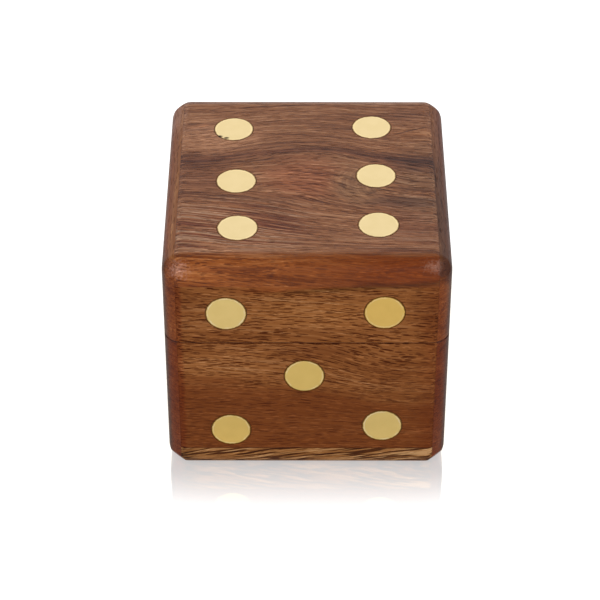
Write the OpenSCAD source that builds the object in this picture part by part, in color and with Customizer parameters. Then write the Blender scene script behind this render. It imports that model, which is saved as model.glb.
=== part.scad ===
// A wooden box in the shape of a large die, with brass pips and a lift-off lid.
// The box stands on its underside, with the origin at the middle of its foot.
// X runs to the right, Y to the back and Z up. Sizes are in millimetres.

/* [Box] */
// Width of the closed box, left to right
box_w = 70; // [66:1:90]
// Depth of the closed box, front to back
box_d = 72; // [66:1:90]
// Height of the base, from its foot up to the seam
base_h = 41.7; // [36:0.1:60]
// Height of the lid, from the seam up to its top
lid_h = 24.3; // [22:0.1:40]
// Radius that rounds every outer edge and corner
edge_r = 5; // [3:0.2:6]
// Wood sanded off the tip of each rounded corner
corner_cut = 0.5; // [0.1:0.1:0.6]
// Flat taken off both edges of the seam
seam_ease = 0.3; // [0.1:0.1:0.6]

/* [Boards] */
// Thickness of the four walls
wall_t = 8; // [7:0.2:8.4]
// Thickness of the top board
top_t = 6.8; // [6:0.2:9]
// Thickness of the bottom board
bottom_t = 7.2; // [5.6:0.2:8]
// Thickness of the side walls' end-grain lips, which lap the boards between them
lip_t = 3.2; // [2.4:0.1:4]

/* [Liner] */
// Thickness of the liner strips inside the base
liner_t = 3; // [2:0.2:3.4]
// Height of the liner above the seam, which locates the lid
liner_rise = 6; // [3:0.5:9]
// Clearance between the liner and the lid's walls
lid_fit = 0.25; // [0.15:0.05:0.5]
// Flat taken off the liner's top edges
liner_ease = 0.7; // [0.3:0.1:1]

/* [Brass pips] */
// Diameter of a pip
pip_d = 10; // [7:0.5:11]
// Thickness of a pip
pip_t = 1.5; // [1:0.1:2]
// Width of the dark joint round a pip
pip_gap = 0.12; // [0.05:0.01:0.2]
// Distance from the sides to the two columns of pips on the top
top_inset_x = 17.6; // [14:0.2:20]
// Distance from the front and the back to the outer rows of pips on the top
top_inset_y = 15.4; // [13:0.2:17]
// Distance from the upright edges to the columns of pips on the four sides
side_inset = 16; // [13:0.2:18]
// Height of the lid's side pips above the seam
lid_row_rise = 9.7; // [8:0.1:12]
// Drop of the middle side pips below the seam
middle_row_drop = 10.5; // [8:0.1:11]
// Height of the lowest side pips above the foot
low_row_z = 14; // [13.4:0.2:15]
// Sink of the pip in the underside
bottom_pip_sink = 0.2; // [0.1:0.1:0.5]

/* [Small dice] */
// Number of dice in the set
set_count = 5; // [1:1:5]
// Width of a small die
die_w = 15; // [12:0.2:18]
// Gap between the dice of the back row
die_gap = 0.6; // [0.5:0.1:1]
// Gap between the dice of the front row, which lie askew
askew_gap = 5; // [4:0.5:8]
// Gap between the two rows of dice
row_gap = 4; // [4:0.5:6]
// Amount that the edges of a die are rounded down
die_edge_cut = 0.2; // [0.1:0.05:0.5]
// Diameter of a die's pips
die_pip_d = 2.4; // [1.6:0.1:2.6]
// Depth of a die's pips
die_pip_t = 0.6; // [0.4:0.1:1]
// Clearance round a die's pips
die_pip_gap = 0.06; // [0.04:0.01:0.1]
// Wood left between a corner pip and the rounding of the face
die_pip_margin = 0.5; // [0.2:0.1:0.8]

/* [Hidden] */
$fn = 64;
box_h = base_h + lid_h;
cavity_w = box_w - 2 * wall_t;
cavity_d = box_d - 2 * wall_t;
floor_w = cavity_w - 2 * liner_t;
floor_d = cavity_d - 2 * liner_t;
between_lips = box_w - 2 * lip_t;
liner_top = base_h + liner_rise;
ceiling_z = box_h - top_t;
corner_ball = norm([box_w / 2 - edge_r, box_d / 2 - edge_r, box_h / 2 - edge_r]) + edge_r - corner_cut;

// Pip centres. Each drift is how far a hand-set pip lies from its even place.
top_x = box_w / 2 - top_inset_x;
top_y = box_d / 2 - top_inset_y;
side_x = box_w / 2 - side_inset;
side_y = box_d / 2 - side_inset;
lid_row_z = base_h + lid_row_rise;
middle_row_z = base_h - middle_row_drop;

top_drift = [[-1.3, -0.4], [-0.2, -2.2], [0.5, -0.8], [-0.9, 0.5], [-0.2, 0.1], [0, 0.5]];
top_pips = [
  for (column = [0, 1], row = [0, 1, 2])
    [(2 * column - 1) * top_x, (1 - row) * top_y] + top_drift[3 * column + row]
];

front_pips = [
  [-side_x - 0.6, lid_row_z - 0.4],
  [side_x - 0.2, lid_row_z],
  [-0.6, middle_row_z],
  [-side_x, low_row_z - 0.6],
  [side_x - 0.1, low_row_z + 0.8]
];
right_pips = [
  [-side_y + 0.5, lid_row_z + 0.2],
  [0.6, middle_row_z + 0.3],
  [side_y - 0.2, low_row_z + 0.4]
];
left_pips = [
  [-side_y - 0.3, lid_row_z + 0.3],
  [side_y - 0.6, lid_row_z - 0.1],
  [-side_y + 0.4, low_row_z],
  [side_y + 0.2, low_row_z + 0.5]
];
back_pips = [[side_x - 0.5, lid_row_z], [-side_x + 0.3, low_row_z + 0.3]];
bottom_pips = [[0.5, -0.4]];

// The small dice lie in two rows on the floor of the base, as many as there is room for.
per_row = floor((floor_w - die_gap) / (die_w + die_gap));
rows = floor((floor_d - row_gap) / (die_w + row_gap));
back_row = min(ceil(set_count / 2), per_row);
front_row = rows > 1 ? min(set_count - back_row, per_row) : 0;
dice = back_row + front_row;
ball_r = die_w * sqrt(2) / 2 - die_edge_cut;
flat_r = sqrt(ball_r * ball_r - die_w * die_w / 4);
die_pip_reach = (flat_r - die_pip_d / 2 - die_pip_margin) / sqrt(2);
row_y = (die_w + row_gap) / 2;
// Quarter turns that bring up a different face of each die, and its turn on the floor
die_rolls = [[0, 0, 0], [90, 0, 90], [0, 90, 0], [0, -90, 90], [180, 0, 0]];
die_turns = [0.8, -1.2, 0.6, 9, -6];

// Outline of a half box seen from one side: eased at the seam, rounded at the far end.
module half_outline(span, height) {
  half = span / 2;
  polygon([
    [-half + seam_ease, 0], [half - seam_ease, 0], [half, seam_ease],
    [half, height - edge_r], [half - edge_r, height - edge_r], [half - edge_r, height],
    [-half + edge_r, height], [-half + edge_r, height - edge_r], [-half, height - edge_r],
    [-half, seam_ease]
  ]);
  for (side = [-1, 1])
    translate([side * (half - edge_r), height - edge_r]) circle(edge_r);
}

// One upright corner of a half box, with its rounded end up.
module corner_post(height) {
  cylinder(h = seam_ease, r1 = edge_r - seam_ease, r2 = edge_r);
  translate([0, 0, seam_ease]) cylinder(h = height - edge_r - seam_ease, r = edge_r);
  translate([0, 0, height - edge_r]) sphere(edge_r);
}

// The solid outer form of a half box, standing on its seam.
module half_form(height) {
  for (x = [-1, 1], y = [-1, 1])
    translate([x * (box_w / 2 - edge_r), y * (box_d / 2 - edge_r), 0]) corner_post(height);
  rotate([90, 0, 0])
    linear_extrude(box_d - 2 * edge_r, center = true) half_outline(box_w, height);
  rotate([90, 0, 90])
    linear_extrude(box_w - 2 * edge_r, center = true) half_outline(box_d, height);
}

// Cuts the tips off the rounded corners, with a ball round the middle of the box.
module sanded() {
  intersection() {
    children();
    translate([0, 0, box_h / 2]) sphere(corner_ball);
  }
}

module lid_form() {
  sanded() translate([0, 0, base_h]) half_form(lid_h);
}

module base_form() {
  sanded() translate([0, 0, base_h]) mirror([0, 0, 1]) half_form(base_h);
}

// A plain block between two opposite corners.
module block(low, high) {
  translate(low) cube(high - low);
}

// Places its children on a face of the box, with their Z pointing out of it.
module on_face(face, spot) {
  if (face == "top") translate([spot.x, spot.y, box_h]) children();
  if (face == "bottom")
    translate([spot.x, spot.y, bottom_pip_sink]) rotate([180, 0, 0]) children();
  if (face == "front") translate([spot.x, -box_d / 2, spot.y]) rotate([90, 0, 0]) children();
  if (face == "back") translate([spot.x, box_d / 2, spot.y]) rotate([-90, 0, 0]) children();
  if (face == "right") translate([box_w / 2, spot.x, spot.y]) rotate([0, 90, 0]) children();
  if (face == "left") translate([-box_w / 2, spot.x, spot.y]) rotate([0, -90, 0]) children();
}

module brass_pip(face, spot) {
  color([0.83, 0.70, 0.42])
    on_face(face, spot) translate([0, 0, -pip_t]) cylinder(h = pip_t, d = pip_d);
}

// The drilled seats of a face's pips, cut through to open air.
module pip_seats(face, spots) {
  for (spot = spots)
    on_face(face, spot)
      translate([0, 0, -pip_t]) cylinder(h = 2 * pip_t, d = pip_d + 2 * pip_gap);
}

// The top board and the bottom board lie between the side walls' lips.
module lid_top_board() {
  color([0.45, 0.24, 0.15]) difference() {
    intersection() {
      lid_form();
      block([-between_lips / 2, -box_d, ceiling_z], [between_lips / 2, box_d, box_h]);
    }
    pip_seats("top", top_pips);
  }
}

module base_bottom_board() {
  color([0.50, 0.29, 0.18]) difference() {
    intersection() {
      base_form();
      block([-between_lips / 2, -box_d, 0], [between_lips / 2, box_d, bottom_t]);
    }
    pip_seats("bottom", bottom_pips);
  }
}

// A front or back wall, end = -1 or 1, between the side walls' lips.
module lid_end_wall(end) {
  outer = box_d / 2 + edge_r;
  inner = cavity_d / 2;
  intersection() {
    lid_form();
    block(
      [-between_lips / 2, end > 0 ? inner : -outer, base_h],
      [between_lips / 2, end > 0 ? outer : -inner, ceiling_z]
    );
  }
}

module base_end_wall(end) {
  outer = box_d / 2 + edge_r;
  inner = cavity_d / 2;
  intersection() {
    base_form();
    block(
      [-between_lips / 2, end > 0 ? inner : -outer, bottom_t],
      [between_lips / 2, end > 0 ? outer : -inner, base_h]
    );
  }
}

// What a side wall leaves free for the boards that its lips lap, side = -1 or 1.
module side_rabbets(side, board_low, board_high) {
  for (end = [-1, 1])
    block(
      [side > 0 ? 0 : -between_lips / 2, end > 0 ? cavity_d / 2 : -box_d, -box_h],
      [side > 0 ? between_lips / 2 : 0, end > 0 ? box_d : -cavity_d / 2, 2 * box_h]
    );
  block(
    [side > 0 ? 0 : -between_lips / 2, -box_d, board_low],
    [side > 0 ? between_lips / 2 : 0, box_d, board_high]
  );
}

module side_block(side) {
  block(
    [side > 0 ? cavity_w / 2 : -box_w, -box_d, -box_h],
    [side > 0 ? box_w : -cavity_w / 2, box_d, 2 * box_h]
  );
}

module lid_side_wall(side) {
  difference() {
    intersection() {
      lid_form();
      side_block(side);
    }
    side_rabbets(side, ceiling_z, box_h + edge_r);
  }
}

module base_side_wall(side) {
  difference() {
    intersection() {
      base_form();
      side_block(side);
    }
    side_rabbets(side, -edge_r, bottom_t);
  }
}

module lid_front_wall() {
  color([0.47, 0.22, 0.11]) difference() {
    lid_end_wall(-1);
    pip_seats("front", front_pips);
  }
}

module lid_back_wall() {
  color([0.47, 0.22, 0.11]) difference() {
    lid_end_wall(1);
    pip_seats("back", back_pips);
  }
}

module lid_left_wall() {
  color([0.41, 0.20, 0.12]) difference() {
    lid_side_wall(-1);
    pip_seats("left", left_pips);
  }
}

module lid_right_wall() {
  color([0.41, 0.20, 0.12]) difference() {
    lid_side_wall(1);
    pip_seats("right", right_pips);
  }
}

module base_front_wall() {
  color([0.44, 0.20, 0.10]) difference() {
    base_end_wall(-1);
    pip_seats("front", front_pips);
  }
}

module base_back_wall() {
  color([0.44, 0.20, 0.10]) difference() {
    base_end_wall(1);
    pip_seats("back", back_pips);
  }
}

module base_left_wall() {
  color([0.39, 0.19, 0.11]) difference() {
    base_side_wall(-1);
    pip_seats("left", left_pips);
  }
}

module base_right_wall() {
  color([0.39, 0.19, 0.11]) difference() {
    base_side_wall(1);
    pip_seats("right", right_pips);
  }
}

// A liner strip along the front of a cavity of the given width and depth,
// with mitred ends and a thinner lip above the seam.
module liner_strip(width, depth) {
  outer = -depth / 2;
  inner = outer + liner_t;
  lip_outer = outer + lid_fit;
  color([0.48, 0.27, 0.16]) intersection() {
    rotate([90, 0, 90]) linear_extrude(width, center = true)
      polygon([
        [outer, bottom_t], [inner, bottom_t], [inner, liner_top - liner_ease],
        [inner - liner_ease, liner_top], [lip_outer + liner_ease, liner_top],
        [lip_outer, liner_top - liner_ease], [lip_outer, base_h], [outer, base_h]
      ]);
    translate([0, 0, bottom_t]) linear_extrude(liner_top - bottom_t)
      polygon([
        [-width / 2, outer], [width / 2, outer],
        [width / 2 - liner_t, inner], [-width / 2 + liner_t, inner]
      ]);
  }
}

module liner_front() {
  liner_strip(cavity_w, cavity_d);
}

module liner_back() {
  rotate([0, 0, 180]) liner_strip(cavity_w, cavity_d);
}

module liner_left() {
  rotate([0, 0, -90]) liner_strip(cavity_d, cavity_w);
}

module liner_right() {
  rotate([0, 0, 90]) liner_strip(cavity_d, cavity_w);
}

// Where die i, counted from 0, stands on the floor of the base.
function die_x(i) =
  i < back_row
    ? (i - (back_row - 1) / 2) * (die_w + die_gap)
    : (i - back_row - (front_row - 1) / 2) * (die_w + askew_gap);
function die_y(i) = i < back_row ? row_y : -row_y;

// Pip places on a face that shows a count from 1 to 6, as shares of the pips' reach.
function die_spots(count) = concat(
  count % 2 == 1 ? [[0, 0]] : [],
  count > 1 ? [[-1, -1], [1, 1]] : [],
  count > 3 ? [[-1, 1], [1, -1]] : [],
  count > 5 ? [[-1, 0], [1, 0]] : []
);

// Turns that bring the top face of a die to the face that shows each count.
die_faces = [[0, 0, 0], [90, 0, 0], [0, 90, 0], [0, -90, 0], [-90, 0, 0], [180, 0, 0]];

module on_die_pips() {
  for (count = [1:6], spot = die_spots(count))
    rotate(die_faces[count - 1])
      translate([spot.x * die_pip_reach, spot.y * die_pip_reach, die_w / 2 - die_pip_t])
        children();
}

module on_floor(i) {
  translate([die_x(i), die_y(i), bottom_t + die_w / 2])
    rotate([0, 0, die_turns[i]]) rotate(die_rolls[i]) children();
}

module small_die(i) {
  color([0.44, 0.22, 0.12]) on_floor(i) difference() {
    intersection() {
      cube(die_w, center = true);
      sphere(ball_r);
    }
    on_die_pips() cylinder(h = 2 * die_pip_t, d = die_pip_d + 2 * die_pip_gap);
  }
}

module small_die_pips(i) {
  color([0.83, 0.70, 0.42]) on_floor(i)
    on_die_pips() cylinder(h = die_pip_t, d = die_pip_d);
}

module brass_pips(face, spots) {
  for (i = [0:len(spots) - 1])
    brass_pip(face, spots[i]);
}

lid_top_board();
lid_front_wall();
lid_back_wall();
lid_left_wall();
lid_right_wall();
base_bottom_board();
base_front_wall();
base_back_wall();
base_left_wall();
base_right_wall();
liner_front();
liner_back();
liner_left();
liner_right();
brass_pips("top", top_pips);
brass_pips("front", front_pips);
brass_pips("right", right_pips);
brass_pips("left", left_pips);
brass_pips("back", back_pips);
brass_pips("bottom", bottom_pips);
for (i = [0:dice - 1]) {
  small_die(i);
  small_die_pips(i);
}
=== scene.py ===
# %% [markdown]
# # A wooden dice box
# The real object is a small box in the shape of a large die. It is glued up from open-pored brown
# hardwood, sawn apart into a base and a lift-off lid, rounded by hand and rubbed to a satin shine,
# and its pips are slices of brass rod, let in flush. This notebook takes the solids from the CAD
# model, which hold every shape, and gives them what a solid doesn't have: wood, brass, light and a
# camera.
#
# The first cell loads the solids. They are in metres, with the middle of the box's foot at the
# origin, X to the right, Y to the back and Z up. The box round them is kept.

# %% Load the frame
import math

import bpy
from mathutils import Euler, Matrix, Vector


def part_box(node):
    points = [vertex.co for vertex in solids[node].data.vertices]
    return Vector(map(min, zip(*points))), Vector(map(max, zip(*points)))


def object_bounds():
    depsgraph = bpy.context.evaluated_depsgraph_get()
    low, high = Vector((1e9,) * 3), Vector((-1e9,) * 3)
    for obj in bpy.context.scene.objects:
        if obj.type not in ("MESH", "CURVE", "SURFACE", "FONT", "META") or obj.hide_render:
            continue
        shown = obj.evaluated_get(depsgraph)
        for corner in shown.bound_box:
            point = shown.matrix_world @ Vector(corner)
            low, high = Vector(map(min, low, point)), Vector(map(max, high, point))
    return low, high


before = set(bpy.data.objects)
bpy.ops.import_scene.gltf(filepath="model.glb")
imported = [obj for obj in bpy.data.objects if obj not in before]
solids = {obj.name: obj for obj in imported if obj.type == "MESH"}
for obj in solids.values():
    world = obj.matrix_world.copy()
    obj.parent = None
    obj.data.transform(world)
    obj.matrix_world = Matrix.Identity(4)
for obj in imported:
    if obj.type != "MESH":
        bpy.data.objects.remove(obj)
cad_low, cad_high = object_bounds()
MM = 0.001
print(len(solids), "solids, box of", [round(side / MM, 1) for side in cad_high - cad_low], "mm")

# %% [markdown]
# ## Where the boards meet
# Dirt has settled in the joints between the boards, and the wood changes its tone at the saw cut
# between lid and base. So the finishes have to know where these places are. The numbers could be
# typed in, but one board shows all of them: the base's front wall lies between the side walls, on
# the bottom board and under the saw cut. Read from the solid, they are sure to fit it.

# %% Measure the joints
board_low, board_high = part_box("base_front_wall")
SIDE_JOINT = round(board_high.x / MM, 1)
FOOT_JOINT = round(board_low.z / MM, 1)
SAW_CUT = round(board_high.z / MM, 1)
HALF_WIDTH = round(cad_high.x / MM, 1)
HALF_DEPTH = round(cad_high.y / MM, 1)
print("side joints at", SIDE_JOINT, "foot joint at", FOOT_JOINT, "saw cut at", SAW_CUT, "mm")

# %% [markdown]
# ## The camera
# The photograph looks down on the front of the box from about 40 degrees. Its place could be found
# by trying, but the outline and the round pips say where it was: a pinhole camera was fitted to
# them, and these are its numbers. A long lens from a little over half a metre keeps the sides
# nearly upright. Blender turns a focal length in pixels into millimetres through the width of the
# sensor.

# %% Set up the camera
PHOTO_SIDE = 600
FOCAL_PIXELS = 2437.8
SENSOR = 36.0
EYE = Vector((-0.73, -491.75, 424.55)) * MM
LOOK_DOWN = math.radians(39.013)
TURN = math.radians(0.119)

camera_data = bpy.data.cameras.new("camera")
camera_data.sensor_width = SENSOR
camera_data.lens = FOCAL_PIXELS / PHOTO_SIDE * SENSOR
camera = bpy.data.objects.new("camera", camera_data)
camera.rotation_euler = Euler((math.pi / 2 - LOOK_DOWN, 0, TURN))
camera.location = EYE
bpy.context.scene.collection.objects.link(camera)
bpy.context.scene.camera = camera
print("lens", round(camera_data.lens, 1), "mm, eye at", [round(c / MM) for c in EYE], "mm")

# %% [markdown]
# ## A way to write finishes
# A finish in Blender is a net of shader nodes. Nets drawn by hand are hard to read back, so this
# small class writes them as sums: every method adds a node or a few and returns the output, which
# the next one takes. Numbers and outputs can be mixed freely.

# %% Nodes written as sums
class Sums:
    """A net of shader nodes, written down like sums."""

    def __init__(self, tree):
        self.nodes = tree.nodes
        self.links = tree.links

    def add(self, kind, **settings):
        node = self.nodes.new("ShaderNode" + kind)
        for key, value in settings.items():
            setattr(node, key, value)
        return node

    def feed(self, socket, value):
        """Links an output to a socket, or writes a number into it."""
        if isinstance(value, bpy.types.NodeSocket):
            self.links.new(value, socket)
        else:
            socket.default_value = value

    def maths(self, operation, *values):
        node = self.add("Math", operation=operation)
        for socket, value in zip(node.inputs, values):
            self.feed(socket, value)
        return node.outputs[0]

    def plus(self, a, b):
        return self.maths("ADD", a, b)

    def minus(self, a, b):
        return self.maths("SUBTRACT", a, b)

    def times(self, a, b):
        return self.maths("MULTIPLY", a, b)

    def off(self, value, middle):
        """How far a value is from the middle, either way."""
        return self.maths("ABSOLUTE", self.minus(value, middle))

    def ease(self, value, low, high):
        """0 at low and 1 at high, with soft ends. Low may be above high."""
        node = self.add("MapRange", interpolation_type="SMOOTHSTEP")
        for socket, number in zip(node.inputs, (value, min(low, high), max(low, high))):
            self.feed(socket, number)
        return self.minus(1, node.outputs[0]) if low > high else node.outputs[0]

    def between(self, value, low, high):
        """Carries 0..1 over to low..high."""
        return self.plus(low, self.times(value, high - low))

    def split(self, vector):
        node = self.add("SeparateXYZ")
        self.feed(node.inputs[0], vector)
        return dict(zip("XYZ", node.outputs))

    def distance(self, *steps):
        """How far one gets by these steps, each square to the others."""
        squares = [self.times(step, step) for step in steps]
        total = squares[0]
        for square in squares[1:]:
            total = self.plus(total, square)
        return self.maths("SQRT", total)


print("the words for a net are", [word for word in vars(Sums) if not word.startswith("_")])

# %% [markdown]
# Wood is solid: the figure on one face runs on over the edge and down the next. A flat picture
# wrapped round the box would break at every edge, so every finish is worked out in space, from the
# point's place in the object. The next class keeps that place at hand, in millimetres, and adds
# the ways to lay one colour on another.

# %% The Finish class
class Finish(Sums):
    """A material, with the place of each of its points."""

    def __init__(self, name):
        self.material = bpy.data.materials.new(name)
        self.material.use_nodes = True
        super().__init__(self.material.node_tree)
        self.shader = self.nodes["Principled BSDF"]
        self.coordinates = self.add("TexCoord")
        grow = self.add("VectorMath", operation="SCALE")
        grow.inputs["Scale"].default_value = 1 / MM
        self.feed(grow.inputs[0], self.coordinates.outputs["Object"])
        self.spot = self.split(grow.outputs[0])

    def point(self, x, y, z):
        node = self.add("CombineXYZ")
        for socket, value in zip(node.inputs, (x, y, z)):
            self.feed(socket, value)
        return node.outputs[0]

    def mix(self, share, under, over, blend="MIX"):
        node = self.add("Mix", data_type="RGBA", blend_type=blend)
        for number, value in ((0, share), (6, under), (7, over)):
            self.feed(node.inputs[number], value)
        return node.outputs[2]

    def cover(self, share, colour, tone):
        """Hides a colour under a plain tone, where share is 1."""
        return self.mix(share, colour, (*tone, 1))

    def stain(self, colour, *coats):
        """Multiplies a colour by one tint after another. A coat is a share and a tint."""
        for share, tint in coats:
            colour = self.mix(share, colour, (*tint, 1), "MULTIPLY")
        return colour

    def emboss(self, height, strength, depth):
        """Shades the surface as if it rose with the height, by this depth in millimetres."""
        bump = self.add("Bump")
        bump.inputs["Strength"].default_value = strength
        bump.inputs["Distance"].default_value = depth * MM
        self.feed(bump.inputs["Height"], height)
        self.feed(self.shader.inputs["Normal"], bump.outputs[0])


print("a finish starts with", [node.name for node in Finish("trial").nodes])
bpy.data.materials.remove(bpy.data.materials["trial"])

# %% [markdown]
# ## Noise that follows the grain
# Each board has its own directions: along its grain, across its face, and through it. Noise that
# is stretched along the grain gives streaks on long grain and specks on end grain, as sawn wood
# does. Blender's noise lies on an unseen lattice, so that stretched lumps end side by side, like
# the teeth of a comb. Moving each row along by a share of a lump breaks up these ranks.

# %% Clouds
ROW_SKEW = 0.37
SEED_STEPS = (17.3, 5.1)


def cloud(finish, place, sizes, seed, detail=2.0, roughness=0.5, skew=0.0):
    """Soft noise, 0..1, whose lumps have these sizes along, across and through the board. Every
    noise has a seed of its own, and skew moves its rows."""
    scaled = [finish.times(p, 1 / size) for p, size in zip(place, sizes)]
    if skew:
        scaled[0] = finish.plus(scaled[0], finish.times(scaled[1], skew))
    for number, step in enumerate(SEED_STEPS):
        scaled[number] = finish.plus(scaled[number], step * seed)
    node = finish.add("TexNoise")
    finish.feed(node.inputs["Vector"], finish.point(*scaled))
    node.inputs["Scale"].default_value = 1.0
    node.inputs["Detail"].default_value = detail
    node.inputs["Roughness"].default_value = roughness
    return node.outputs["Fac"]


def swing(finish, noise, reach):
    """Noise as a sum term that swings about 0, by the reach either way."""
    return finish.times(finish.minus(noise, 0.5), 2 * reach)


print("a skewed row lies", ROW_SKEW, "of a lump beside the last")

# %% [markdown]
# ## Pores
# This timber's vessels are wide enough to see. Where the saw opened them lengthways they are short
# dark dashes, one to three millimetres long and a third wide; across the grain they are dots. They
# could be drawn one by one, but Voronoi cells do both at once: every cell has one point, so the
# distance from it, in a space squeezed along the grain, draws one little needle for each cell. The
# cell's own random colour gives each its thickness and leaves some of them out. The rows of
# needles are moved along too, the other way than the streaks, so that the wood doesn't lean to one
# side.

# %% Pore marks
NEEDLE_THICKNESS = (0.26, 0.46)
NEEDLE_EDGE = 0.05
NEEDLE_SEED_STEP = 7.7
CELL_RANDOMNESS = 0.85


def pores(finish, place, length, width, share, seed):
    """1 in a pore, 0 outside. Share is the part of the cells that have one."""
    scaled = [finish.times(p, 1 / size) for p, size in zip(place, (length, width, width))]
    scaled[0] = finish.minus(scaled[0], finish.times(scaled[1], ROW_SKEW))
    scaled[0] = finish.plus(scaled[0], NEEDLE_SEED_STEP * seed)
    cells = finish.add("TexVoronoi")
    finish.feed(cells.inputs["Vector"], finish.point(*scaled))
    cells.inputs["Scale"].default_value = 1.0
    cells.inputs["Randomness"].default_value = CELL_RANDOMNESS
    chance = finish.split(cells.outputs["Color"])
    reach = finish.between(chance["Y"], *NEEDLE_THICKNESS)
    needle = finish.ease(finish.minus(cells.outputs["Distance"], reach), 0.0, -NEEDLE_EDGE)
    present = finish.maths("LESS_THAN", chance["X"], share)
    return finish.times(needle, present)


print("a needle is", [2 * reach for reach in NEEDLE_THICKNESS], "of its cell wide and long")

# %% [markdown]
# ## The timber
# All boards come from the same stock: a yellow-brown ground with darker streaks, dark pores, pale
# flecks beside them, and a clear satin coat that dips into the pores. Each board could have a
# material of its own, but then their grain would hardly look alike. So one function makes them
# all, and each board adds only its own figure: how its grain lines bend, and where its dark and
# pale parts lie. Colours are written as they look on a screen and turned into linear light.

# %% Colours of the stock
def seen(red, green, blue):
    """A colour as a screen shows it, in linear light."""
    return tuple(((c + 0.055) / 1.055) ** 2.4 for c in (red, green, blue))


PALE_WOOD = seen(0.68, 0.49, 0.325)
BROWN_WOOD = seen(0.56, 0.35, 0.185)
DARK_WOOD = seen(0.37, 0.185, 0.06)
GREY_STREAK = seen(0.68, 0.53, 0.42)
OLIVE_GROUND = seen(0.56, 0.42, 0.29)
PORE_TINT = (0.28, 0.155, 0.055)
FLECK_TINT = (1.38, 1.50, 1.70)
DIRT_AND_SHADE_TINT = (0.30, 0.20, 0.17)
print("ground", [round(c, 3) for c in BROWN_WOOD])

# %% Grain lines and ground colour
DRIFT_SIZES = (26, 9, 9)
BAND_SIZES = (60, 5.0, 7)
STREAK_SIZES = (24, 0.8, 1.2)
THREAD_SIZES = (9, 0.28, 0.4)
THREAD_SHARE = 0.5
DARK_TO_BROWN = (-0.10, 0.55)
BROWN_TO_PALE = (0.45, 1.10)


def lay_grain(finish, place, bend, wander, seed):
    """The board's place, its grain lines moved by the bend, across and through, and wandering."""
    along, across, through = place
    drift = swing(finish, cloud(finish, place, DRIFT_SIZES, seed + 0.5, detail=1.0), wander / 2)
    across = finish.minus(finish.minus(across, bend[0]), drift)
    return [along, across, finish.minus(through, bend[1])]


def ground(finish, grain, seed, bands, lines):
    """Streaky ground, from dark to pale, with this much contrast in bands and in fine lines."""
    broad = cloud(finish, grain, BAND_SIZES, seed)
    streaks = cloud(finish, grain, STREAK_SIZES, seed + 3, detail=3.0, roughness=0.6, skew=ROW_SKEW)
    threads = cloud(finish, grain, THREAD_SIZES, seed + 7, detail=1.0, skew=ROW_SKEW)
    tone = finish.plus(swing(finish, broad, bands), swing(finish, streaks, lines))
    tone = finish.plus(finish.plus(tone, swing(finish, threads, THREAD_SHARE * lines)), 0.5)
    colour = finish.cover(finish.ease(tone, *DARK_TO_BROWN), (*DARK_WOOD, 1), BROWN_WOOD)
    return finish.cover(finish.ease(tone, *BROWN_TO_PALE), colour, PALE_WOOD)


print("streaks are", STREAK_SIZES[0], "mm long and", STREAK_SIZES[1], "mm wide")

# %% [markdown]
# Every glue joint is a thin dark line, where dust and wax stayed behind. It could be a groove in
# the solid, but a real glue line is flush, so it is drawn in the colour. The line along the saw cut
# between lid and base is painted shade, in the groove there. A line drawn at one height goes right
# through the wood, and with the lid off the whole sawn rim would be dark. So the lines at one
# height are kept to the skin of the box.

# %% Dirt in the joints, painted shade in the saw cut
SIDE_LINES = (("X", -SIDE_JOINT, 0.30, 0.35), ("X", SIDE_JOINT, 0.30, 0.35))
# the saw cut's dark line is painted shade in the groove between lid and base
CUT_SHADE_LINE = ("Z", SAW_CUT, 0.34, 0.9)
FOOT_LINE = ("Z", FOOT_JOINT, 0.25, 0.8)
SKIN = (-3.4, -1.6)
CRUMB_SIZES = (1.6, 1.6, 1.6)
CRUMB_SWING = 0.16


def outward(finish):
    """How far a point lies outside the box's upright faces. Less than 0 is inside."""
    return finish.maths("MAXIMUM", finish.minus(finish.off(finish.spot["X"], 0), HALF_WIDTH),
                        finish.minus(finish.off(finish.spot["Y"], 0), HALF_DEPTH))


def dirt_and_shade_lines(finish, place, colour, joints, seed):
    """Draws joint dirt and the cut's painted shade: an axis, a place, a width and a depth of tone.
    """
    crumbs = swing(finish, cloud(finish, place, CRUMB_SIZES, seed + 8), CRUMB_SWING)
    skin = finish.ease(outward(finish), *SKIN)
    for axis, at, width, depth in joints:
        aside = finish.plus(finish.off(finish.spot[axis], at), crumbs)
        line = finish.ease(aside, width, 0.25 * width)
        line = finish.times(line, skin) if axis == "Z" else line
        colour = finish.stain(colour, (finish.times(line, depth), DIRT_AND_SHADE_TINT))
    return colour


print("dirt and shade lines at", [joint[:2] for joint in (*SIDE_LINES, CUT_SHADE_LINE, FOOT_LINE)])

# %% [markdown]
# A board's figure is two small functions: one bends its grain lines, and the other lays its dark
# and pale places on the ground colour. They could be left out for a plain board, but then every
# later step would have to ask whether they are there. So a plain board has both, and they change
# nothing.

# %% A board without a figure
def straight(finish, place):
    """How far the grain lines are bent, across the board and through it. Here not at all."""
    return 0.0, 0.0


def plain_figure(finish, place, grain, colour):
    """The board's colour, and how open its pores are. Here just as the stock is."""
    return colour, 1.0


print("a board without a figure uses", straight.__name__, "and", plain_figure.__name__)

# %% [markdown]
# One function makes the finish of a board. First it lays the grain and the colour, then the pores,
# the pale flecks beside them, the dirt in the joints and the painted shade in the saw cut, and last
# the coat: its shine, how rough it is, and how it dips into the pores. Pores could be holes in the
# solid, but there are thousands of them, a tenth of a millimetre deep, and a bump in the shading
# shows them as well.

# %% Timber for one board
LONG_PORE, SHORT_PORE, FLECK = (4.2, 0.35), (2.3, 0.29), (2.6, 0.38)
PORE_SHARE, FLECK_SHARE = 0.9, 0.6
LONG_DEPTH, SHORT_DEPTH = 0.95, 0.75
FIBRE_SIZES = (5.0, 0.16, 0.2)
FIBRE_HEIGHT = 0.12
COAT_SWING = 0.05
DRY_PORE = 0.3
COAT_BUMP = (0.6, 0.06)


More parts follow.
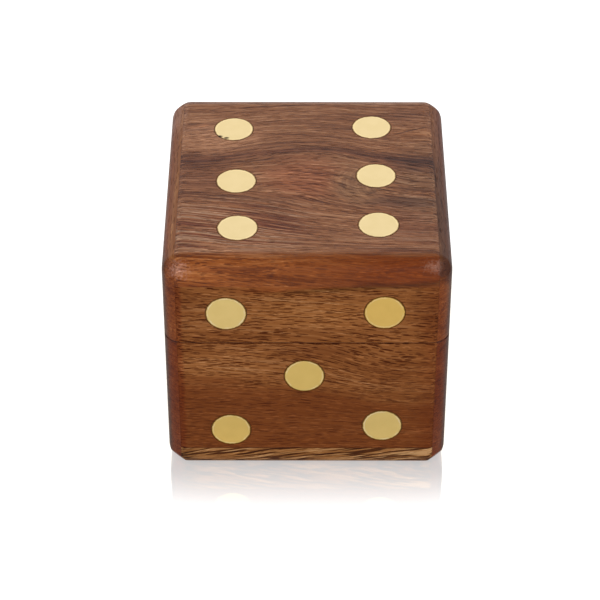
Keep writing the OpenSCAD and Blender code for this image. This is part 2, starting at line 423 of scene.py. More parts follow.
def timber(name, along, across, bend=straight, figure=plain_figure, seed=1, wander=3.0,
           bands=0.7, lines=1.1, share=0.6, shine=0.25, sheen_rough=0.36, joints=()):
    """A finished board. Its grain runs along one axis, and the other one goes across its face."""
    finish = Finish(name)
    through = ({"X", "Y", "Z"} - {along, across}).pop()
    place = [finish.spot[axis] for axis in (along, across, through)]
    grain = lay_grain(finish, place, bend(finish, place), wander, seed)
    colour, openness = figure(finish, place, grain, ground(finish, grain, seed, bands, lines))

    long_pores = pores(finish, grain, *LONG_PORE, PORE_SHARE * share, seed)
    short_pores = pores(finish, grain, *SHORT_PORE, PORE_SHARE * share, seed + 4)
    open_wood = finish.maths("MAXIMUM", finish.times(long_pores, LONG_DEPTH),
                             finish.times(short_pores, SHORT_DEPTH))
    open_wood = finish.times(open_wood, openness)
    flecks = pores(finish, grain, *FLECK, FLECK_SHARE * share, seed + 9)
    colour = finish.stain(colour, (flecks, FLECK_TINT), (open_wood, PORE_TINT))
    if joints:
        colour = dirt_and_shade_lines(finish, place, colour, joints, seed)
    finish.feed(finish.shader.inputs["Base Color"], colour)

    fibre = cloud(finish, grain, FIBRE_SIZES, seed + 6)
    roughness = finish.between(fibre, sheen_rough - COAT_SWING, sheen_rough + COAT_SWING)
    roughness = finish.plus(roughness, finish.times(open_wood, DRY_PORE))
    finish.feed(finish.shader.inputs["Roughness"], roughness)
    finish.shader.inputs["Specular IOR Level"].default_value = shine
    finish.emboss(finish.minus(finish.times(fibre, FIBRE_HEIGHT), open_wood), *COAT_BUMP)
    return finish.material


print("pores are up to", LONG_PORE[0], "mm apart along the grain")

# %% [markdown]
# ## The back wall, the liner and the small dice
# The liner is four thin strips inside the base, which stand up into the lid and keep it in place,
# and five small wooden dice lie between them. The photograph shows neither these nor the back wall.
# Each could be given a figure of its own, but it would be made up, so they are left plain. Because
# the wood is worked out in space, one finish gives five different dice: they lie in five places.
# The strips at the sides have grain that runs to the back, so they need a second finish.

# %% Plain pieces
back_wall_wood = timber("back_wall_wood", "X", "Z", seed=10, joints=(CUT_SHADE_LINE, *SIDE_LINES))
liner_wood = timber("liner_wood", "X", "Z", seed=11, shine=0.2)
liner_side_wood = timber("liner_side_wood", "Y", "Z", seed=12, shine=0.2)
die_wood = timber("die_wood", "X", "Z", seed=13, shine=0.4)
for wood in (back_wall_wood, liner_wood, liner_side_wood, die_wood):
    print(wood.name, "has", len(wood.node_tree.nodes), "nodes")

# %% [markdown]
# ## Soft shapes
# A growth band or a rubbed place has no sharp border, and where it ends it follows the grain. A
# painted mask could show that, but it would be a picture. Here each is a soft oval, a soft line or
# a low hill, worked out from a few numbers, and noise along the grain makes its edge ragged.

# %% Ovals, lines and hills
OVAL_FADE = (1.25, 0.35)
OVAL_EDGE_SIZES = (14, 1.6, 3)


def patch(finish, place, centre, radii, ragged, seed):
    """1 in the middle of a soft oval, 0 outside it, with a ragged edge along the grain."""
    steps = [finish.times(finish.minus(place[i], centre[i]), 1 / radii[i]) for i in (0, 1)]
    edge = swing(finish, cloud(finish, place, OVAL_EDGE_SIZES, seed), ragged / 2)
    return finish.ease(finish.plus(finish.distance(*steps), edge), *OVAL_FADE)


def shade(finish, place, colour, marks):
    """Lays soft ovals on a colour. A mark is share, centre, radii, raggedness, seed and tint."""
    for share, centre, radii, ragged, seed, tint in marks.values():
        oval = patch(finish, place, centre, radii, ragged, seed)
        colour = finish.stain(colour, (finish.times(oval, share), tint))
    return colour


def stroke(finish, place, start, end, width, fade):
    """1 on a straight mark from start to end, which fades at its sides and ends."""
    length = math.dist(start, end)
    way = ((end[0] - start[0]) / length, (end[1] - start[1]) / length)
    right, up = [finish.minus(place[i], start[i]) for i in (0, 1)]
    along = finish.plus(finish.times(right, way[0]), finish.times(up, way[1]))
    aside = finish.minus(finish.times(up, way[0]), finish.times(right, way[1]))
    ends = finish.times(finish.ease(along, 0, fade), finish.ease(along, length, length - fade))
    return finish.times(finish.ease(finish.off(aside, 0), width, 0.2 * width), ends)


def hill(finish, x, middle, spread):
    """1 over the middle, falling off to both sides."""
    aside = finish.times(finish.minus(x, middle), 1 / spread)
    return finish.maths("EXPONENT", finish.times(finish.times(aside, aside), -1))


print("a hill has fallen to", round(math.exp(-1), 2), "at its spread")

# %% [markdown]
# At the lid's front corners a soft pale patch is a painted highlight, where the lamps would glint
# on the rounding. Beside each a darker spot is laid, and the left edge is drawn paler at the back.
# These marks run over three boards, so they are soft balls in space rather than marks on one face,
# and every board that they reach lays them on its own colour.

# %% Painted highlights and spots at the corners
CORNER_HIGHLIGHTS_AND_SPOTS = {
    # the two front patches are painted highlights, where the lamps glint on the corners
    "front left, painted highlight": (0.58, (-30.4, -34.2, 63.2), (2.3, 1.9), seen(0.78, 0.58, 0.50)),
    "front left, darker": (0.55, (-34.5, -31.5, 62.8), (1.3, 3.0), seen(0.34, 0.20, 0.12)),
    "front right, painted highlight": (0.52, (30.2, -33.8, 63.8), (2.3, 1.5), seen(0.70, 0.52, 0.44)),
    "front right, darker": (0.90, (33.9, -33.5, 62.9), (1.9, 3.6), seen(0.27, 0.115, 0.03)),
    "left edge, paler at the back": (0.42, (-33.5, 29, 64), (2.6, 9), seen(0.72, 0.55, 0.47)),
}


def corner_highlights_and_spots(finish, colour):
    """Lays painted highlights and spots on: share, centre, half width and height, and tone."""
    place = [finish.spot[axis] for axis in "XYZ"]
    crumbs = swing(finish, cloud(finish, place, (0.6, 0.6, 0.6), 65), 1.1)
    for share, centre, (wide, high), tone in CORNER_HIGHLIGHTS_AND_SPOTS.values():
        steps = [finish.times(finish.minus(p, at), 1 / size)
                 for p, at, size in zip(place, centre, (wide, high, high))]
        ball = finish.ease(finish.plus(finish.distance(*steps), crumbs), 1.5, 0.0)
        colour = finish.cover(finish.times(ball, share), colour, tone)
    return colour


print("marks:", *CORNER_HIGHLIGHTS_AND_SPOTS, sep="\n  ")

# %% [markdown]
# ## The top board
# The top shows the heart of the figure. A dark band arches over it like a low hill, behind a
# reddish middle. At the right the growth lines turn round in a nose, and at the front left they
# fan out in pale and dark streaks that fall to the right. The grain itself is bent first, so that
# streaks and pores follow these shapes, and then the dark and pale places are laid over it.

# %% How the top's grain bends
ARCH = (-1, 19)
ARCH_HEIGHTS = (1.5, 5.6)
FALL = -4.5
SLOPE = -0.11


def top_bend(finish, place):
    """Grain lines that arch at the back and fall to the right at the front."""
    x, y, _ = place
    height = finish.between(finish.ease(y, 34, 12), *ARCH_HEIGHTS)
    arch = finish.times(hill(finish, x, *ARCH), height)
    fall = finish.plus(finish.times(finish.ease(x, -30, 16), FALL), finish.times(x, SLOPE))
    fall = finish.times(fall, finish.ease(y, -35, -20))
    back = finish.ease(y, -17, 13)
    across = finish.plus(finish.times(arch, back), finish.times(fall, finish.minus(1, back)))
    through = finish.times(finish.ease(y, -30, -34), finish.times(x, -0.10))
    return across, through


print("the arch bends the grain by up to", ARCH_HEIGHTS[1], "mm")

# %% Dark and pale places on the top
TOP_SHADES = {
    "left end": (0.85, (-28, -1), (10, 8), 1.4, 32, (0.72, 0.62, 0.59)),
    "reddish middle": (0.80, (-1, 0), (11, 10), 1.0, 35, (1.06, 0.80, 0.68)),
    "behind the nose": (0.85, (28, 5), (12, 3.6), 1.6, 33, (0.70, 0.58, 0.58)),
    "before the nose": (0.90, (24, -11), (13, 2.6), 1.6, 34, (0.52, 0.46, 0.46)),
    "right front": (0.70, (24, -20), (13, 8), 1.6, 40, (0.80, 0.66, 0.64)),
    "pale, right back": (0.85, (28, 18), (8, 3), 1.2, 41, (1.25, 1.28, 1.25)),
    "pale, by the nose": (0.85, (29, -7.5), (5, 2), 1.0, 42, (1.36, 1.32, 1.36)),
    "back right corner": (0.60, (28, 27), (9, 5), 1.4, 45, (0.78, 0.72, 0.74)),
    "right side": (0.65, (29, -4), (9, 20), 1.2, 50, (0.68, 0.78, 0.90)),
    "under the arch": (0.55, (0, 7), (14, 6), 1.0, 53, (0.86, 0.90, 0.92)),
}
print("places:", *TOP_SHADES, sep="\n  ")

# %% [markdown]
# The band over the top is a growth layer that the saw met at a shallow angle. It could be one soft
# stripe, but the real one is a broad shade with a thin line in it that comes and goes. So it is
# drawn twice about one curve, and noise along the grain gives both the same ragged edge.

# %% The dark band
BAND_LEVELS = (5.8, 11.3)
BROAD_BAND = (3.3, 0.4), (0.75, 0.65, 0.60)
THIN_BAND = (1.2, 0.1), (0.66, 0.47, 0.45)


def arch_band(finish, place, grain, colour):
    """Lays the broad shade and the thin line on the colour."""
    x, y, _ = place
    level = finish.minus(y, finish.between(hill(finish, x, *ARCH), *BAND_LEVELS))
    edge = swing(finish, cloud(finish, grain, (12, 1.4, 2), 31, detail=3.0), 1.9)
    aside = finish.off(finish.plus(level, edge), 0)
    sides = finish.minus(1, finish.times(hill(finish, x, 3, 14), 0.95))
    depth = finish.between(cloud(finish, place, (8, 8, 8), 44), 0.1, 1.1)
    for (fade, tint), strength in ((BROAD_BAND, sides), (THIN_BAND, depth)):
        near = finish.times(finish.ease(aside, *fade), strength)
        colour = finish.stain(colour, (near, tint))
    return colour


print("the band lies", BAND_LEVELS, "mm behind the middle, at the sides and at its top")

# %% [markdown]
# The nose is where the board was cut past a branch. Its lines are noise again, but along a bowed
# measure instead of the board's own, so that they bow too. The fan is long pale streaks that show
# only inside two ovals.

# %% The nose and the fan
NOSE_TIP = (6, -3)
NOSE_BOW = 0.07
NOSE_OVAL = ((12, -4), (9, 9), 0.6, 43)
LEFT_FAN = ((-19, -21), (24, 12), 1.0, 37)
RIGHT_FAN = ((22, -27), (16, 7), 1.0, 49)


def growth_nose(finish, place, colour):
    """Pale and dark lines that turn round at the right."""
    x, y, z = place
    aside = finish.minus(y, NOSE_TIP[1])
    bow = finish.times(finish.times(aside, aside), NOSE_BOW)
    nose = finish.minus(finish.minus(x, NOSE_TIP[0]), bow)
    lines = cloud(finish, [nose, y, z], (1.2, 5, 7), 38, detail=3.0, roughness=0.6)
    inside = finish.times(patch(finish, place, *NOSE_OVAL), finish.ease(nose, -3.0, 2.0))
    colour = finish.cover(finish.times(inside, 0.4), colour, OLIVE_GROUND)
    pale = finish.times(finish.ease(lines, 0.50, 0.62), inside)
    dark = finish.times(finish.ease(lines, 0.48, 0.36), inside)
    return finish.stain(colour, (pale, (1.30, 1.36, 1.38)), (dark, (0.82, 0.76, 0.74)))


def streak_fan(finish, place, grain, colour):
    """Pale and nearly black streaks over the front, strongest at the left."""
    left_fan = patch(finish, place, *LEFT_FAN)
    right_fan = finish.times(patch(finish, place, *RIGHT_FAN), 0.45)
    fan = finish.maths("MAXIMUM", left_fan, right_fan)
    streaks = cloud(finish, grain, (30, 0.75, 1.5), 39, detail=1.0)
    pale = finish.times(finish.ease(streaks, 0.50, 0.60), fan)
    dark = finish.times(finish.ease(streaks, 0.48, 0.40), fan)
    colour = finish.cover(finish.times(pale, 0.85), colour, GREY_STREAK)
    return finish.stain(colour, (fan, (1.09, 1.04, 1.0)), (dark, (0.50, 0.28, 0.16)))


print("the nose's tip lies at", NOSE_TIP, "mm")

# %% [markdown]
# Over the front edge the rounding cuts through the growth layers, so the wood turns red and smooth
# there, darker towards the right. The red there is partly the wood and partly painted shade: the
# edge tint takes off the pale sheen that the rounding catches from the room. One olive layer comes
# to the surface over the joint of top board and front wall. Both boards show it, so one function
# serves both.

# %% The rounded front edge
OLIVE_HEIGHT = 58.1
OLIVE_CLIMB = 0.075
OLIVE_TINT = (0.55, 0.54, 0.44)
EDGE_FADE = (-30.0, -33.4)
# the edge tint is partly painted shade: it takes the room's sheen off the rounding
EDGE_TINTS = {"edge": (1.0, 0.78, 0.49), "middle": (0.89, 0.86, 0.87),
              "right": (0.67, 0.475, 0.335), "below": (1.04, 1.26, 1.30)}


def olive_band(finish, x, height):
    """A dark growth band that rises to the right over the joint of lid wall and top board: how near
    it is, and how much of the redder wood above it shows."""
    slope = finish.minus(height, finish.times(x, OLIVE_CLIMB))
    place = [x, height, finish.spot["Y"]]
    level = cloud(finish, place, (9, 1.1, 2), 47, detail=3.0)
    level = finish.plus(slope, swing(finish, level, 0.7))
    near = finish.ease(finish.off(level, OLIVE_HEIGHT), 1.4, 0.2)
    near = finish.times(near, finish.ease(x, -14, 4))
    above = finish.ease(level, OLIVE_HEIGHT - 0.1, OLIVE_HEIGHT + 0.8)
    return finish.times(near, 0.85), finish.times(above, finish.ease(x, -22, -6))


def front_rounding(finish, place, colour):
    """The colour over the front edge, and how smooth the wood is there."""
    x, y, z = place
    ragged = swing(finish, cloud(finish, place, (9, 1.3, 3), 52), 1.6)
    edge = finish.ease(finish.plus(y, ragged), *EDGE_FADE)
    smooth = finish.times(edge, finish.ease(x, -30, 26))
    olive, above = olive_band(finish, x, z)
    shares = {"edge": 1.0, "middle": hill(finish, x, 0, 14), "right": finish.ease(x, -12, 24),
              "below": finish.times(finish.minus(1, above), finish.ease(x, 8, 16))}
    colour = finish.cover(finish.times(smooth, 0.5), colour, BROWN_WOOD)
    for part, tint in EDGE_TINTS.items():
        colour = finish.stain(colour, (finish.times(shares[part], edge), tint))
    return finish.stain(colour, (finish.times(olive, edge), OLIVE_TINT)), smooth


print("the olive band climbs", round(2 * HALF_WIDTH * OLIVE_CLIMB, 1), "mm over the box")

# %% [markdown]
# Last come two small marks of use at the back, a dark scratch at the right and a pale one at the
# left. They are too shallow for the solid, so they are lines in the colour.

# %% The top board's finish
TOP_TINT = (1.10, 1.04, 1.14)
# a paler, greyer patch at the back left: a painted sheen
BACK_LEFT_SHEEN = ((-23, 17), (13, 8), 1.2, 36)
BACK_LEFT_SHEEN_TINT = (1.28, 1.20, 1.12)
SCRATCH = ((21.7, 17.7), (30.8, 21.4), 0.35, 1.5)
SCRATCH_TINT = (0.40, 0.32, 0.29)
PALE_SCRATCH = ((-31.4, 20.3), (-24.6, 22.0), 0.45, 2.0)
PALE_SCRATCH_TINT = (1.35, 1.30, 1.26)


def top_figure(finish, place, grain, colour):
    """The places, bands, streaks and marks of the top, one after another."""
    colour = finish.cover(0.10, colour, BROWN_WOOD)
    colour = finish.stain(colour, (1.0, TOP_TINT))
    colour = shade(finish, place, colour, TOP_SHADES)
    # painted sheen at the back left
    back_left_sheen = patch(finish, place, *BACK_LEFT_SHEEN)
    colour = finish.cover(finish.times(back_left_sheen, 0.34), colour, GREY_STREAK)
    colour = finish.stain(colour, (back_left_sheen, BACK_LEFT_SHEEN_TINT))
    colour = arch_band(finish, place, grain, colour)
    colour = growth_nose(finish, place, colour)
    colour = streak_fan(finish, place, grain, colour)
    colour, smooth = front_rounding(finish, place, colour)
    colour = finish.stain(colour, (stroke(finish, place, *SCRATCH), SCRATCH_TINT),
                          (stroke(finish, place, *PALE_SCRATCH), PALE_SCRATCH_TINT))
    # painted highlights, and darker and paler spots, at the corners
    return corner_highlights_and_spots(finish, colour), finish.between(smooth, 0.85, 0.35)


top_board_wood = timber("top_board_wood", "X", "Y", top_bend, top_figure, seed=2, shine=0.20,
                        sheen_rough=0.28, lines=1.4, joints=SIDE_LINES)
print(top_board_wood.name, "has", len(top_board_wood.node_tree.nodes), "nodes")

# %% [markdown]
# ## The front wall
# Lid and base were one wall until the saw went through, so one finish serves both and the figure
# runs on across the cut. Two finishes would have to be matched there by eye. The upper half is
# paler, with long dark pores. Lower down the wood turns darker, redder and smoother, and its lines
# fall to the right. The cut shows as a dark line, which is painted shade in the groove there.

# %% Figure of the front
FRONT_SHADES = {
    "pale left": (0.85, (-22, 34), (14, 6.5), 1.2, 42, (1.28, 1.40, 1.55)),
    "under the cut": (0.85, (2, 39), (11, 2.5), 1.2, 45, (0.76, 0.68, 0.64)),
    "right": (0.85, (24, 31), (11, 7), 1.2, 46, (0.84, 0.77, 0.71)),
    "pale middle of the lid": (0.60, (2, 51), (20, 5), 1.4, 48, (1.24, 1.32, 1.32)),
    "lid, left end": (0.80, (-34, 54), (9, 7), 1.2, 54, (0.74, 0.66, 0.60)),
    "lid, right end": (0.80, (33, 50), (10, 9), 1.2, 55, (0.74, 0.66, 0.60)),
}


def front_bend(finish, place):
    """Lines that dip to the right below the cut, and slope a little everywhere."""
    x, z, _ = place
    low = finish.times(finish.ease(z, 50, 33), finish.ease(z, 12, 32))
    dip = finish.times(finish.ease(x, -9, 24), -5.5)
    slope = finish.times(x, finish.between(finish.ease(z, 50, 62), -0.07, -0.10))
    return finish.plus(finish.times(dip, low), slope), 0.0


def front_figure(finish, place, grain, colour):
    """The front's tones, smooth and red below, and how open its pores are."""
    x, z, _ = place
    level = finish.plus(grain[1], swing(finish, cloud(finish, grain, (20, 3, 3), 41), 5))
    smooth = finish.ease(level, 32, 24)
    colour = finish.cover(finish.between(smooth, 0.35, 0.60), colour, BROWN_WOOD)
    colour = finish.stain(colour, (1.0, (0.965, 0.91, 0.85)),
                          (finish.times(smooth, 0.9), (0.66, 0.49, 0.38)))
    colour = shade(finish, place, colour, FRONT_SHADES)
    ragged = swing(finish, cloud(finish, place, (2, 6, 6), 56), 0.8)
    left_end = finish.ease(finish.plus(x, ragged), -29.8, -31.2)
    right_end = finish.ease(x, 25.5, 31.5)
    olive, above = olive_band(finish, x, z)
    colour = finish.stain(colour, (left_end, (0.80, 0.58, 0.50)), (right_end, (0.87, 0.75, 0.68)),
                          (above, (1.0, 0.78, 0.70)), (olive, OLIVE_TINT))
    openness = finish.times(finish.between(smooth, 1.3, 0.7), finish.between(above, 1.0, 0.4))
    return colour, finish.times(openness, finish.between(finish.ease(x, 12, 30), 1.0, 0.75))


front_wall_wood = timber("front_wall_wood", "X", "Z", front_bend, front_figure, seed=5, shine=0.07,
                         wander=1.4, bands=0.55, lines=1.0, share=0.72,
                         joints=(*SIDE_LINES, CUT_SHADE_LINE, FOOT_LINE))
print(front_wall_wood.name, "has", len(front_wall_wood.node_tree.nodes), "nodes")

# %% [markdown]
# ## The bottom board
# The bottom board is paler than the rest, with nearly black streaks that climb to the right. It
# could do with the plain stock, but its edge is the stripe at the foot of the front, and it is
# what shows that the box is glued up.

# %% The bottom board
def bottom_bend(finish, place):
    """Lines that climb to the right."""
    return finish.times(place[0], 0.16), 0.0


def bottom_figure(finish, place, grain, colour):
    """Pale wood with nearly black streaks, darker at the left end."""
    streaks = cloud(finish, grain, (14, 0.62, 0.62), 51)
    dark = finish.times(finish.ease(streaks, 0.49, 0.55), 0.97)
    left_end = finish.ease(place[0], -25, -31)
    colour = finish.stain(colour, (0.9, (1.32, 1.56, 1.66)), (dark, (0.17, 0.09, 0.04)),
                          (left_end, (0.62, 0.56, 0.50)))
    return colour, 0.6


bottom_board_wood = timber("bottom_board_wood", "X", "Z", bottom_bend, bottom_figure, seed=7,
                           shine=0.08, joints=(*SIDE_LINES, FOOT_LINE))
print(bottom_board_wood.name, "has", len(bottom_board_wood.node_tree.nodes), "nodes")

# %% [markdown]
# ## The side walls
# The side walls run front to back and lap the boards between them, so their lips show end grain on
# the front. Their wood is redder, and darker on the base. On the outer faces and at the front edges
# it is drawn darker still, which is painted shade, and along the top it is drawn paler, which is a
# painted sheen. Separate finishes for all these faces would break at their edges, so one finish has
# a tint for each place.

# %% The side walls
def side_bend(finish, place):
    """Lines that climb a little to the back."""
    return finish.times(place[0], 0.05), 0.0


def reddish(finish, place, grain, colour):
    """Dark red wood; painted shade on outer faces and front edges, painted sheen along the top."""
    y, z, _ = place
    x = finish.spot["X"]
    aside = finish.off(x, 0)
    base = finish.ease(z, SAW_CUT + 0.1, SAW_CUT - 0.1)
    # outer faces and front edges drawn darker: painted shade
    outer_shade = finish.ease(aside, HALF_WIDTH - 1.0, HALF_WIDTH - 0.2)
    front_corner_shade = finish.times(finish.ease(aside, HALF_WIDTH - 1.6, HALF_WIDTH - 0.3),
                           finish.ease(y, -28, -33))
    # the top edge drawn paler: a painted sheen
    top_edge_sheen = finish.ease(z, 63.8, 65.6)
    right_edge = finish.times(finish.ease(x, 30, 31), finish.ease(z, 59, 63))
    right_back = finish.times(right_edge, finish.ease(y, -10, 26))
    colour = finish.stain(colour, (1.0, (0.76, 0.48, 0.29)), (base, (0.73, 0.55, 0.42)),
                          (outer_shade, (0.72, 0.78, 0.80)), (front_corner_shade, (0.56, 0.66, 0.72)),
                          (top_edge_sheen, (1.26, 1.70, 2.10)), (right_edge, (0.50, 0.50, 0.58)),
                          (right_back, (1.50, 1.40, 1.40)))
    # painted highlights, and darker and paler spots, at the corners
    return corner_highlights_and_spots(finish, colour), 0.7


left_wall_wood, right_wall_wood = [
    timber(name, "Y", "Z", side_bend, reddish, seed=seed, share=0.45, bands=0.5, lines=0.8,
           shine=0.14, sheen_rough=0.32, joints=(CUT_SHADE_LINE,))
    for name, seed in (("left_wall_wood", 8), ("right_wall_wood", 9))]
print(left_wall_wood.name, right_wall_wood.name)

# %% [markdown]
# ## Brass
# The pips are polished together with the wood, so they carry fine sanding marks and a film of dirt
# round the rim. A metal's colour is the colour of its reflections, so the base colour is bright.
# The rim could be a ring of its own, but it is only a stain. It is found from a pip's own box, in
# which every disc is as wide as 1. The 21 pips of a small die are one solid with one box, so they
# have no rim of their own and stay plain. Down in the dark box a full metal would mirror only dark
# wood, so their brass is made partly matt.
#
# No two slices of the front look quite alike, so the front's finish has a tint for each outer
# slice, laid round its middle.

# %% Colours and marks of the brass
# the top's pips are drawn paler: painted light, for the brighter light they catch
PALE_LIT_BRASS = (0.80, 0.63, 0.33)
YELLOW_BRASS = (0.90, 0.64, 0.20)
# the bright ring inside each rim is a painted highlight
RING_HIGHLIGHT = (1.0, 0.79, 0.42)
RIM_DIRT = (0.22, 0.12, 0.07)
CHIP_DARK = (0.06, 0.04, 0.03)
DISC_RIM = (0.467, 0.486)
RING_RADIUS, RING_FADE = 0.450, (0.022, 0.004)
SLICE_REACH = (14, 14)
SANDING_SIZES = (6.0, 0.12, 0.12)
BRASS_ROUGHNESS = (0.26, 0.38)
SANDED_BUMP = (0.2, 0.01)
SLICE_TONES = {
    (-19, 51): (1.05, 1.09, 1.32), (19, 51): (0.99, 0.92, 0.80),
    (-19, 14): (0.95, 0.945, 0.93), (19, 14): (0.97, 1.01, 1.17),
}
RIM_CHIPS = ((-22.3, 17.0, 0.95), (-20.5, 16.3, 0.75))
print("the rim's dirt starts at", round(2 * DISC_RIM[0], 2), "of a disc's radius")

# %% [markdown]
# All pips could share one finish, but those of the top are drawn paler, a painted highlight for the
# bright room they mirror, and a finish that draws rims has to know which way its discs face. So one
# function makes them all, and takes what differs: the two axes of the face, the colour, how bright
# the painted highlight ring and how dirty the rim is, the chips, and the tints of single slices.

# %% Brass for discs
def brass(name, face_axes, colour, ring_highlight, dirt=0.95, chips=(), slices=None, metal=1.0):
    """Brass for discs whose faces lie along two axes. Dark rim, with a painted highlight ring in
    it.
    """
    finish = Finish(name)
    own = finish.split(finish.coordinates.outputs["Generated"])
    radius = finish.distance(*[finish.minus(own[axis], 0.5) for axis in face_axes])
    place = [finish.spot[axis] for axis in "XYZ"]
    third = ({"X", "Y", "Z"} - set(face_axes)).pop()
    face = [finish.spot[axis] for axis in face_axes + third]

    uneven = swing(finish, cloud(finish, place, (0.8, 0.8, 0.8), 61, detail=3.0), 0.02)
    radius = finish.plus(radius, uneven)
    # a painted highlight ring just inside the rim
    highlight_ring = finish.ease(finish.off(radius, RING_RADIUS), *RING_FADE)
    broken = finish.ease(cloud(finish, place, (2.5, 2.5, 2.5), 66), 0.35, 0.60)
    cloudy = finish.ease(cloud(finish, place, (3.5, 3.5, 3.5), 62), 0.3, 0.7)
    tone = finish.stain((*colour, 1), (cloudy, (0.97, 0.965, 0.94)))
    tone = finish.cover(finish.times(finish.times(highlight_ring, broken), ring_highlight), tone, RING_HIGHLIGHT)
    tone = finish.stain(tone, (finish.times(finish.ease(radius, *DISC_RIM), dirt), RIM_DIRT))
    for centre, tint in (slices or {}).items():
        tone = finish.stain(tone, (patch(finish, face, centre, SLICE_REACH, 0.0, 67), tint))
    for x, y, size in chips:
        chip = patch(finish, face, (x, y), (size, 0.6 * size), 0.5, 64)
        tone = finish.stain(tone, (chip, CHIP_DARK))
    finish.feed(finish.shader.inputs["Base Color"], tone)

    finish.shader.inputs["Metallic"].default_value = metal
    marks = cloud(finish, place, SANDING_SIZES, 63)
    finish.feed(finish.shader.inputs["Roughness"], finish.between(marks, *BRASS_ROUGHNESS))
    finish.emboss(marks, *SANDED_BUMP)
    return finish.material


print("sanding marks are", SANDING_SIZES[0], "mm long")

# %% Four kinds of brass
top_brass = brass("top_brass", "XY", PALE_LIT_BRASS, 0.5, chips=RIM_CHIPS)
front_brass = brass("front_brass", "XZ", YELLOW_BRASS, 0.8, slices=SLICE_TONES)
side_brass = brass("side_brass", "YZ", YELLOW_BRASS, 0.8)
die_brass = brass("die_brass", "XY", YELLOW_BRASS, 0.0, dirt=0.0, metal=0.6)
print("brass:", top_brass.name, front_brass.name, side_brass.name, die_brass.name)

# %% [markdown]
# ## Every solid gets its finish
# The solids come with plain colours. Their names say what they are, so most finishes can be handed
# out by name. The shapes stay as they are: only the material in each one's slot changes.

# %% Give every solid its finish
wall_wood = {"front": front_wall_wood, "back": back_wall_wood,
             "left": left_wall_wood, "right": right_wall_wood}
strip_wood = {"front": liner_wood, "back": liner_wood,
              "left": liner_side_wood, "right": liner_side_wood}
face_brass = {"top": top_brass, "bottom": top_brass, "front": front_brass, "back": front_brass,
              "left": side_brass, "right": side_brass}
finishes = {"lid_top_board": top_board_wood, "base_bottom_board": bottom_board_wood}
for side in wall_wood:
    finishes[f"lid_{side}_wall"] = finishes[f"base_{side}_wall"] = wall_wood[side]
    finishes[f"liner_{side}"] = strip_wood[side]
for name in solids:
    if name.startswith("pip_"):
        finishes[name] = face_brass[name.split("_")[1]]
    elif name.startswith("die_"):
        finishes[name] = die_brass if name.endswith("_pips") else die_wood
for name, solid in solids.items():
    solid.data.materials.clear()
    solid.data.materials.append(finishes[name])
print(len(finishes), "solids finished")

# %% [markdown]
# ## The floor
# The photograph has a white ground without an edge, and a faint mirror image of the box's foot in
# it. A white floor under strong light would flood the wood from below, so the floor is an ordinary
# pale one, and only the camera sees it lifted to white. It keeps the box's shadow. The mirror
# image is a second, glossy shader, which fades out with the distance from the box.

# %% The floor
FLOOR_HALF = 3.0
FLOOR_TONE = 0.6
FLOOR_LIFT = 0.95
METAL_LIFT = 0.22
FLOOR_SHEEN = 0.54
SHEEN_REACH = (26.0, -2)
MIRROR_TINT = (1.0, 0.93, 0.80)
WHITE = (1, 1, 1, 1)


def floor_finish():
    """Pale and matt, white to the camera, with a mirror mixed in near the box."""
    finish = Finish("floor_white")
    shader = finish.shader
    shader.inputs["Base Color"].default_value = (FLOOR_TONE, FLOOR_TONE, FLOOR_TONE, 1)
    shader.inputs["Roughness"].default_value = 0.9
    shader.inputs["Specular IOR Level"].default_value = 0.0
    shader.inputs["Emission Color"].default_value = WHITE
    rays = finish.add("LightPath").outputs
    lift = finish.plus(finish.times(rays["Is Camera Ray"], FLOOR_LIFT),
                       finish.times(rays["Is Glossy Ray"], METAL_LIFT))
    finish.feed(shader.inputs["Emission Strength"], lift)
    mirror = finish.add("BsdfGlossy")
    mirror.inputs["Color"].default_value = (*MIRROR_TINT, 1)
    mirror.inputs["Roughness"].default_value = 0.05
    share = finish.times(finish.ease(outward(finish), *SHEEN_REACH), FLOOR_SHEEN)
    both = finish.add("MixShader")
    for socket, value in zip(both.inputs, (share, shader.outputs[0], mirror.outputs[0])):
        finish.feed(socket, value)
    finish.feed(finish.nodes["Material Output"].inputs[0], both.outputs[0])
    return finish.material


floor_mesh = bpy.data.meshes.new("floor")
FLOOR_CORNERS = [(right * FLOOR_HALF, back * FLOOR_HALF, 0)
                 for right, back in ((-1, -1), (1, -1), (1, 1), (-1, 1))]
floor_mesh.from_pydata(FLOOR_CORNERS, [], [(0, 1, 2, 3)])
floor_mesh.materials.append(floor_finish())
floor = bpy.data.objects.new("floor", floor_mesh)
bpy.context.scene.collection.objects.link(floor)
print("floor", [round(side, 1) for side in floor.dimensions], "m")

# %% [markdown]
# ## The room
# The top shines because it mirrors a white wall low behind the box, while the rounding at its
# front mirrors the dim ceiling and keeps its full colour. One even grey room would give both the
# same sheen. So the world is bright only low at the back, and brass, which has no colour but its
# reflections, is given a brighter room than wood. The camera itself sees white everywhere.

# %% The room
DIM_ROOM = 0.27
WHITE_BACK = 1.25
METAL_ROOM = 0.50
BACK_EDGE = (0.56, 0.74)

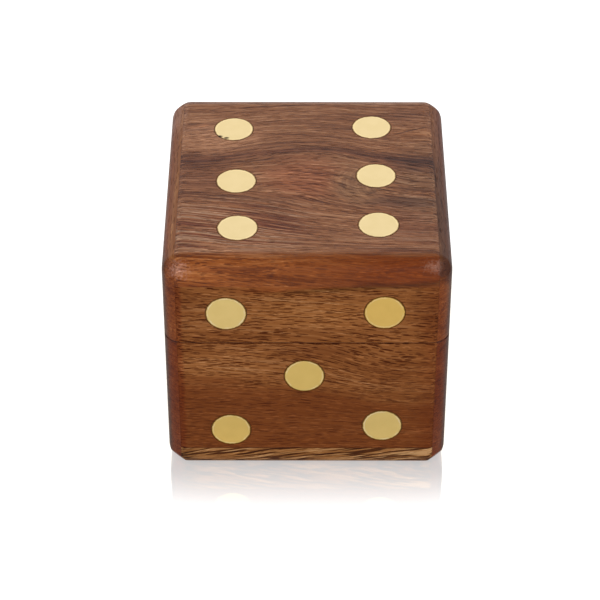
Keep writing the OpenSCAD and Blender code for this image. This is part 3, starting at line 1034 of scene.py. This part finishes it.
world = bpy.data.worlds.new("room")
bpy.context.scene.world = world
world.use_nodes = True
room = Sums(world.node_tree)
backward = room.split(room.add("TexCoord").outputs["Generated"])["Y"]
brightness = room.between(room.ease(backward, *BACK_EDGE), DIM_ROOM, WHITE_BACK)
rays = room.add("LightPath").outputs
brightness = room.maths("MAXIMUM", room.times(rays["Is Glossy Ray"], METAL_ROOM), brightness)
shown = room.add("Mix")
for socket, value in (("Factor", rays["Is Camera Ray"]), ("A", brightness), ("B", 1.0)):
    room.feed(shown.inputs[socket], value)
room.feed(room.nodes["Background"].inputs["Strength"], shown.outputs["Result"])
room.feed(room.nodes["Background"].inputs["Color"], WHITE)
print("room from", DIM_ROOM, "in front to", WHITE_BACK, "low at the back")

# %% [markdown]
# ## The lamps
# Four soft lamps stand round the front, two on each side, low enough for it to get more light than
# the top. One lamp a side would do for the wood, but its mirror image in the brass would burn out
# to white. A lamp's power could be set by trying. Here it is worked out from how bright a white
# card in front of it should look, so it stays right when the lamp is moved.

# %% The lamps
LAMP_FAR = 0.9
LAMP_SIDE = 0.75
LAMP_LEVEL = 0.288
LAMP_RISE = math.radians(24)
LAMPS = {"far_left": (-68, 1.0), "near_left": (-34, 1.0), "near_right": (36, 0.9),
         "far_right": (70, 0.9)}
BOX_MIDDLE = (cad_low + cad_high) / 2


def add_lamp(name, azimuth, level):
    """A square soft lamp that looks at the box. Azimuth counts from the front to the right."""
    turn = math.radians(azimuth)
    toward = Vector((math.sin(turn) * math.cos(LAMP_RISE), -math.cos(turn) * math.cos(LAMP_RISE),
                     math.sin(LAMP_RISE)))
    data = bpy.data.lights.new(name, "AREA")
    data.shape = "SQUARE"
    data.size = LAMP_SIDE
    data.energy = level * math.pi ** 2 * LAMP_FAR ** 2
    lamp = bpy.data.objects.new(name, data)
    lamp.location = BOX_MIDDLE + toward * LAMP_FAR
    lamp.rotation_euler = toward.to_track_quat("Z", "Y").to_euler()
    bpy.context.scene.collection.objects.link(lamp)


for name, (azimuth, share) in LAMPS.items():
    add_lamp(name, azimuth, share * LAMP_LEVEL)
print("lamps of", {light.name: round(light.energy, 2) for light in bpy.data.lights}, "W")

# %% [markdown]
# ## The view
# Finishes add no size, so the box round everything is still the CAD box. The picture shows the
# colours as they are, through Blender's standard view.

# %% Set the view
bpy.context.scene.view_settings.view_transform = "Standard"
